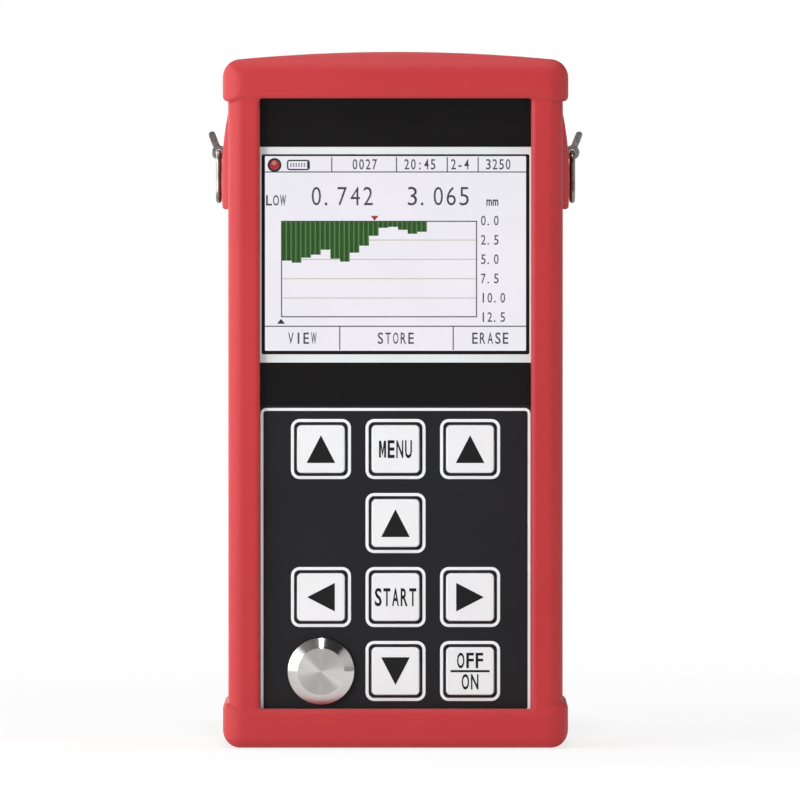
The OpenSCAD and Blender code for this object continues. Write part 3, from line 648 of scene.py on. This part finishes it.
mesh = bmesh.new()
outline_h = OUTLINE_TOP - OUTLINE_FOOT
printed_frame(mesh, 0.0, OUTLINE_FOOT + outline_h / 2, OUTLINE_W, outline_h, OUTLINE_R, OUTLINE_LINE)
for name in KEYS:
    printed_frame(mesh, *middle_of(name), KEY_RING, KEY_RING, KEY_RING_R, KEY_RING_LINE)
white_print = finish("white_print", PRINT_WHITE, rough=0.5, grain=0.12, height=0.004, uneven=0.03)
piece("panel_lines", mesh, white_print, "gauge_body")


# Keys and their legends
# Nine hard white plastic keys with eased edges, each free to slide in its own hole of the panel.
# The dark legends are pad printed on the key tops and move with them.
KEY_WHITE = (0.8, 0.8, 0.81)
LEGEND_DARK = (0.008, 0.008, 0.009)
LEGEND_T = 0.02
ARROW_BASE = 6.3
ARROW_TALL = 6.1
WORD_TALL = 3.7
WORD_PITCH = 1.9
SMALL_WORD_TALL = 3.2
SMALL_PITCH = 2.05
SMALL_GAP = 0.75
HEAVY = 0.02
LETTER_FILL = 0.8
EM_FILL = 0.82
EM_STROKE = 0.42
EM_SHOULDER = 1.1 * EM_STROKE
EM_DIP = 0.42
EM_UNDER = 0.06
EM_ARM = 0.6
RULE_W = 8.6
RULE_T = 0.48
ARROWS = {"key_up_left": 0, "key_up_right": 0, "key_up": 0, "key_left": 90, "key_down": 180, "key_right": 270}
KEY_WORDS = {"key_menu": "MENU", "key_enter": "START"}

key_plastic = finish("key_plastic", KEY_WHITE, rough=0.4, grain=0.3, height=0.008, uneven=0.025,
                     soft_edge=0.25)
wear(key_plastic, *KEYS)
legend_print = finish("legend_print", LEGEND_DARK, rough=0.5, grain=0.15, height=0.004, uneven=0.15,
                      shine=0.2)


def turned(outline, degrees):
    a = math.radians(degrees)
    return [(x * math.cos(a) - z * math.sin(a), x * math.sin(a) + z * math.cos(a)) for x, z in outline]


def em_outline(w, h):
    """A heavy capital M about its middle, with its base line at zero."""
    half = [(w / 2, 0), (w / 2, h), (w / 2 - EM_SHOULDER, h), (0, EM_DIP * h)]
    under = [(0, EM_UNDER * h), (w / 2 - EM_STROKE, EM_ARM * h), (w / 2 - EM_STROKE, 0)]
    return half + [(-x, z) for x, z in half[2::-1]] + [(-x, z) for x, z in under[::-1]] + under[1:]


def legend_words(mesh, text, tall, pitch, x, z, y):
    """Narrow heavy lettering about x, each letter in a cell of one width."""
    for i, letter in enumerate(text):
        place = x + (i - (len(text) - 1) / 2) * pitch
        if letter == "M":
            slab(mesh, em_outline(EM_FILL * pitch, tall), place, z, y, LEGEND_T)
        else:
            words(mesh, letter, tall, place, z, y, LEGEND_T, HEAVY, LETTER_FILL * pitch)


for name in KEYS:
    x, z = middle_of(name)
    y = front_of(name) - LEGEND_T
    mesh = bmesh.new()
    if name in ARROWS:
        slab(mesh, turned(arrow_outline(ARROW_BASE, ARROW_TALL), ARROWS[name]), x, z, y, LEGEND_T)
    elif name in KEY_WORDS:
        legend_words(mesh, KEY_WORDS[name], WORD_TALL, WORD_PITCH, x, z - WORD_TALL / 2, y)
    else:
        legend_words(mesh, "OFF", SMALL_WORD_TALL, SMALL_PITCH, x, z + SMALL_GAP, y)
        slab(mesh, rounded(RULE_W, RULE_T), x, z, y, LEGEND_T)
        legend_words(mesh, "ON", SMALL_WORD_TALL, SMALL_PITCH, x, z - SMALL_GAP - SMALL_WORD_TALL, y)
    piece(name + "_legend", mesh, legend_print, name)


# Calibration disc
# A turned block of stainless steel of known thickness, pressed through the panel into the shell.
# Its flat face and sloping rim keep the fine circles of the lathe, which draw out the highlights.
DISC_STEEL = (0.66, 0.645, 0.63)
LATHE_PITCH = 0.09
LATHE_POLISH = (0.2, 0.26)
LATHE_STRETCH = 0.95
LATHE_DARK = 0.9
LATHE_LIGHT = 1.08
GROOVE_STRENGTH = 0.2
GROOVE_DEEP = 0.01


def split(tree, place):
    """The X, Y and Z of a place."""
    made = tree.nodes.new("ShaderNodeSeparateXYZ")
    feed(tree, made.inputs["Vector"], place)
    return made.outputs


def turned_steel():
    """Steel that is grooved in circles about the disc's middle and shines along its radius."""
    made, tree, shader = blank("turned_steel")
    shader.inputs["Metallic"].default_value = 1.0
    shader.inputs["Anisotropic"].default_value = LATHE_STRETCH
    x, z = middle_of("calibration_disc")
    sides = split(tree, placed(tree, Location=(-x * MM, 0, -z * MM)))
    outwards = tree.nodes.new("ShaderNodeCombineXYZ")
    feed(tree, outwards.inputs["X"], sides["X"])
    feed(tree, outwards.inputs["Z"], sides["Z"])
    feed(tree, shader.inputs["Tangent"], outwards.outputs["Vector"])
    radius = tree.nodes.new("ShaderNodeVectorMath")
    radius.operation = "LENGTH"
    feed(tree, radius.inputs[0], outwards.outputs["Vector"])
    lathe = tree.nodes.new("ShaderNodeTexNoise")
    lathe.noise_dimensions = "1D"
    feed(tree, lathe.inputs["Scale"], 1.0 / (LATHE_PITCH * MM))
    feed(tree, lathe.inputs["Detail"], FINE_DETAIL)
    feed(tree, lathe.inputs["W"], radius.outputs["Value"])
    circles = lathe.outputs["Fac"]
    feed(tree, shader.inputs["Roughness"], ranged(tree, circles, CLOUD, LATHE_POLISH))
    shares = ranged(tree, circles, CLOUD, FULL)
    shade = mixed(tree, shares, tinted(DISC_STEEL, LATHE_DARK), tinted(DISC_STEEL, LATHE_LIGHT))
    feed(tree, shader.inputs["Base Color"], shade)
    grooves = raised(tree, circles, GROOVE_STRENGTH, GROOVE_DEEP)
    feed(tree, shader.inputs["Normal"], grooves.outputs["Normal"])
    return made


wear(turned_steel(), "calibration_disc")


# Probe sockets
# Two coaxial sockets of nickel-plated brass through the top of the case, held by nuts inside.
# Each has a pale insulating core with the hole for the plug's pin.
NICKEL = (0.66, 0.64, 0.6)
CORE_IVORY = (0.7, 0.66, 0.56)

nickel_plate = finish("nickel_plate", NICKEL, rough=0.22, grain=0.15, height=0.006, uneven=0.06, metallic=1.0,
                      soft_edge=0.12, blotch=3.0)
wear(nickel_plate, "probe_socket_left", "probe_socket_right", "socket_nuts")
wear(finish("core_resin", CORE_IVORY, rough=0.5, grain=0.2, height=0.01), "socket_cores")


# Battery cells and door
# Two cylindrical cells in printed jackets lie head to tail between nickel-plated springs and contacts.
# The moulded door turns on two pins at its foot and one zinc-plated coin screw holds it shut.
JACKET_BLUE = (0.03, 0.05, 0.085)
JACKET_GOLD = (0.55, 0.36, 0.14)
GOLD_SHARE = 0.3
DOOR_LIFT = 1.1
# Painted shade: the colour that darkens the slot of the door screw towards its floor.
PAINTED_SLOT_SHADE = (0.09, 0.088, 0.085)
SLOT_DEEP = 0.5
SLOT_FADE = (0.8 * SLOT_DEEP, 0.2 * SLOT_DEEP)

wear(nickel_plate, "battery_springs", "battery_contacts")


def reckoned(tree, operation, *values):
    """The result of one sum on numbers or outputs of nodes."""
    made = tree.nodes.new("ShaderNodeMath")
    made.operation = operation
    for i, value in enumerate(values):
        feed(tree, made.inputs[i], value)
    return made.outputs["Value"]


def cell_jacket(name, gold_up):
    """Blue jacket with a gold band at the end away from the spring."""
    made = finish(name + "_jacket", JACKET_BLUE, rough=0.3, grain=0.3, height=0.004)
    tree = made.node_tree
    low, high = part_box(name)
    gold_tall = GOLD_SHARE * (high.z - low.z)
    height = split(tree, placed(tree))["Z"]
    if gold_up:
        gold = reckoned(tree, "GREATER_THAN", height, high.z - gold_tall)
    else:
        gold = reckoned(tree, "LESS_THAN", height, low.z + gold_tall)
    shade = mixed(tree, gold, tinted(JACKET_BLUE), tinted(JACKET_GOLD))
    feed(tree, tree.nodes["Principled BSDF"].inputs["Base Color"], shade)
    return made


wear(cell_jacket("battery_cell_left", True), "battery_cell_left")
wear(cell_jacket("battery_cell_right", False), "battery_cell_right")
door_plastic = finish("door_plastic", [DOOR_LIFT * c for c in SHELL_BLACK], rough=0.48, grain=SHELL_GRAIN,
                      height=SHELL_RAISED, uneven=SHELL_MOTTLE, soft_edge=SHELL_EDGE, blotch=MOTTLE_ACROSS)
wear(door_plastic, "battery_door")


def slotted_zinc():
    """Zinc plate with painted shade in the slot, darker towards the slot's floor than on the head."""
    made = zinc_plate("slotted_zinc")
    tree = made.node_tree
    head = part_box("door_screw")[1].y
    # Painted shade: plain zinc on the head, fading to the dark slot colour deeper in the slot.
    unshaded = ranged(tree, split(tree, placed(tree))["Y"], [head - deep * MM for deep in SLOT_FADE], FULL)
    base = tree.nodes["Principled BSDF"].inputs["Base Color"]
    feed(tree, base, mixed(tree, unshaded, tinted(PAINTED_SLOT_SHADE), base.links[0].from_socket))
    return made


wear(slotted_zinc(), "door_screw")


# Rubber boot
# One soft moulding of red rubber with thick bumpers at both ends and a rolled lip round the face.
# It is stretched over the case; its skin is matte, with a faint pebble left by the mould.
RUBBER_RED = (0.49, 0.031, 0.036)
PEBBLE = 0.5
BLOOM = 0.2
BLOOM_ROUGH = 0.4
BLOOM_TINT = (1.0, 0.8, 0.8)
LIP_EASE = 0.9
BUMPER_EASE = 3.0
BUMPER_TALL = 11.0


def boot_rubber():
    """Matte rubber with a soft bloom, eased more at the corners of the bumpers than along the lip."""
    made = finish("boot_rubber", RUBBER_RED, rough=0.5, grain=PEBBLE, height=0.025, uneven=0.05, shine=0.3,
                  soft_edge=LIP_EASE, blotch=25.0)
    tree = made.node_tree
    shader = tree.nodes["Principled BSDF"]
    shader.inputs["Sheen Weight"].default_value = BLOOM
    shader.inputs["Sheen Roughness"].default_value = BLOOM_ROUGH
    shader.inputs["Sheen Tint"].default_value = tinted(BLOOM_TINT)
    low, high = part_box("protective_boot")
    half = (high.z - low.z) / 2
    up = reckoned(tree, "SUBTRACT", split(tree, placed(tree))["Z"], (low.z + high.z) / 2)
    ends = (half - BUMPER_TALL * MM, half - BUMPER_TALL * MM / 2)
    ease = ranged(tree, reckoned(tree, "ABSOLUTE", up), ends, (LIP_EASE * MM, BUMPER_EASE * MM))
    feed(tree, tree.nodes["Bevel"].inputs["Radius"], ease)
    return made


wear(boot_rubber(), "protective_boot")


# Strap lugs and rings
# Stamped steel lugs stand out of the case through the boot, each with a ring of bent wire in its eye.
# The lugs are bright and the rings darker, with the small scratches and spots of handled steel.
LUG_STEEL = (0.5, 0.48, 0.45)
RING_STEEL = (0.24, 0.225, 0.2)
SCRATCH = (1.0, 1.0, 0.3)

lug_steel = finish("lug_steel", LUG_STEEL, rough=0.18, grain=0.3, height=0.012, uneven=0.4, metallic=1.0,
                   soft_edge=0.2, blotch=1.8, stretch=SCRATCH)
wear(lug_steel, "strap_lug_left", "strap_lug_right")
ring_steel = finish("ring_steel", RING_STEEL, rough=0.3, grain=0.25, height=0.012, uneven=0.35, metallic=1.0,
                    blotch=1.5)
wear(ring_steel, "strap_ring_left", "strap_ring_right")


# Studio floor
# A pale sheet that keeps the object's shadow. The camera, polished metal and glass see it white,
# fully so away from the object and less close by.
FLOOR_PALE = (0.9, 0.9, 0.9)
FLOOR_HALF = 4.0
FLOOR_CELLS = 8
FLOOR_DROP = 0.0002
FLOOR_WHITE = 1.05
WHITE_FROM = (0.08, 0.6)
WHITE_SHARE = (0.7, 1.0)

mesh = bmesh.new()
bmesh.ops.create_grid(mesh, x_segments=FLOOR_CELLS, y_segments=FLOOR_CELLS, size=FLOOR_HALF)
data = bpy.data.meshes.new("floor")
mesh.to_mesh(data)
mesh.free()
floor = bpy.data.objects.new("floor", data)
floor.location.z = -FLOOR_DROP
bpy.context.scene.collection.objects.link(floor)
paper, tree, shader = blank("floor_paper")
tree.nodes.remove(shader)
matt = tree.nodes.new("ShaderNodeBsdfDiffuse")
matt.inputs["Color"].default_value = tinted(FLOOR_PALE)
white = tree.nodes.new("ShaderNodeEmission")
white.inputs["Strength"].default_value = FLOOR_WHITE
away = tree.nodes.new("ShaderNodeVectorMath")
away.operation = "LENGTH"
feed(tree, away.inputs[0], placed(tree))
fade = ranged(tree, away.outputs["Value"], WHITE_FROM, WHITE_SHARE)
ray = tree.nodes.new("ShaderNodeLightPath").outputs
mirrored = reckoned(tree, "MAXIMUM", ray["Is Glossy Ray"], ray["Is Transmission Ray"])
seen = reckoned(tree, "MAXIMUM", ray["Is Camera Ray"], mirrored)
both = tree.nodes.new("ShaderNodeMixShader")
feed(tree, both.inputs[0], reckoned(tree, "MULTIPLY", seen, fade))
feed(tree, both.inputs[1], matt.outputs["BSDF"])
feed(tree, both.inputs[2], white.outputs["Emission"])
feed(tree, tree.nodes["Material Output"].inputs["Surface"], both.outputs["Shader"])
data.materials.append(paper)


# Studio surround
# A white room to the camera and a dim even one to matte surfaces. Polished surfaces and glass
# mirror it bright behind the object and at the left, and dark in front of it.
ROOM_WHITE = (1.0, 1.0, 1.0)
ROOM_LIGHT = 1.0
ROUND_LIGHT = 0.3
FRONT_TO_BACK = (-0.35, 0.2)
FRONT_TO_BACK_LIGHT = (0.04, 1.0)
LEFT_TO_RIGHT = (-0.5, 0.1)
LEFT_TO_RIGHT_LIGHT = (3.0, 0.15)


def blended(tree, share, first, second):
    """Two numbers mixed by a share."""
    made = tree.nodes.new("ShaderNodeMix")
    feed(tree, made.inputs[0], share)
    feed(tree, made.inputs[2], first)
    feed(tree, made.inputs[3], second)
    return made.outputs[0]


world = bpy.data.worlds.new("studio")
world.use_nodes = True
bpy.context.scene.world = world
tree = world.node_tree
around = tree.nodes.new("ShaderNodeTexCoord")
sides = split(tree, around.outputs["Generated"])
behind = ranged(tree, sides["Y"], FRONT_TO_BACK, FRONT_TO_BACK_LIGHT)
sideways = ranged(tree, sides["X"], LEFT_TO_RIGHT, LEFT_TO_RIGHT_LIGHT)
ray = tree.nodes.new("ShaderNodeLightPath").outputs
mirrored = reckoned(tree, "MAXIMUM", ray["Is Glossy Ray"], ray["Is Transmission Ray"])
level = blended(tree, mirrored, ROUND_LIGHT, reckoned(tree, "MULTIPLY", behind, sideways))
back = tree.nodes["Background"]
back.inputs["Color"].default_value = tinted(ROOM_WHITE)
feed(tree, back.inputs["Strength"], blended(tree, ray["Is Camera Ray"], level, ROOM_LIGHT))


# Lamps and camera
# Soft round lamps at the left and above and a weaker fill at the right, each given by its place, its
# width and its power; the camera looks almost straight at the face.
LAMPS = {
    "side_lamp": ((-0.9, -0.2, 0.2), 0.6, 3.7),
    "near_lamp": ((-0.34, -0.36, 0.18), 0.25, 0.95),
    "glint_lamp": ((-0.62, -0.8, 0.37), 0.05, 1.0),
    "top_lamp": ((0.0, -0.48, 1.05), 0.1, 3.1),
    "overhead_lamp": ((-0.1, 0.2, 1.2), 0.7, 2.1),
    "fill_lamp": ((1.0, -0.2, 0.45), 0.9, 2.2),
}
AIM = Vector((0.00099, -0.017, 0.0765))
CAMERA_AWAY = 2.5
CAMERA_UP = math.radians(1.5)
CAMERA_SPAN = 0.17584


def aimed(name, data, place):
    """Stands a lamp or the camera at a place, looking at the middle of the object."""
    made = bpy.data.objects.new(name, data)
    made.location = place
    made.rotation_euler = (AIM - Vector(place)).to_track_quat("-Z", "Y").to_euler()
    bpy.context.scene.collection.objects.link(made)
    return made


for name, (place, size, power) in LAMPS.items():
    lamp = bpy.data.lights.new(name, "AREA")
    lamp.shape = "DISK"
    lamp.size = size
    lamp.energy = power
    aimed(name, lamp, place)

lens = bpy.data.cameras.new("camera")
lens.sensor_fit = "HORIZONTAL"
lens.angle = 2 * math.atan(CAMERA_SPAN / 2 / CAMERA_AWAY)
stand = AIM + CAMERA_AWAY * Vector((0, -math.cos(CAMERA_UP), math.sin(CAMERA_UP)))
bpy.context.scene.camera = aimed("camera", lens, stand)
bpy.context.scene.view_settings.view_transform = "Standard"
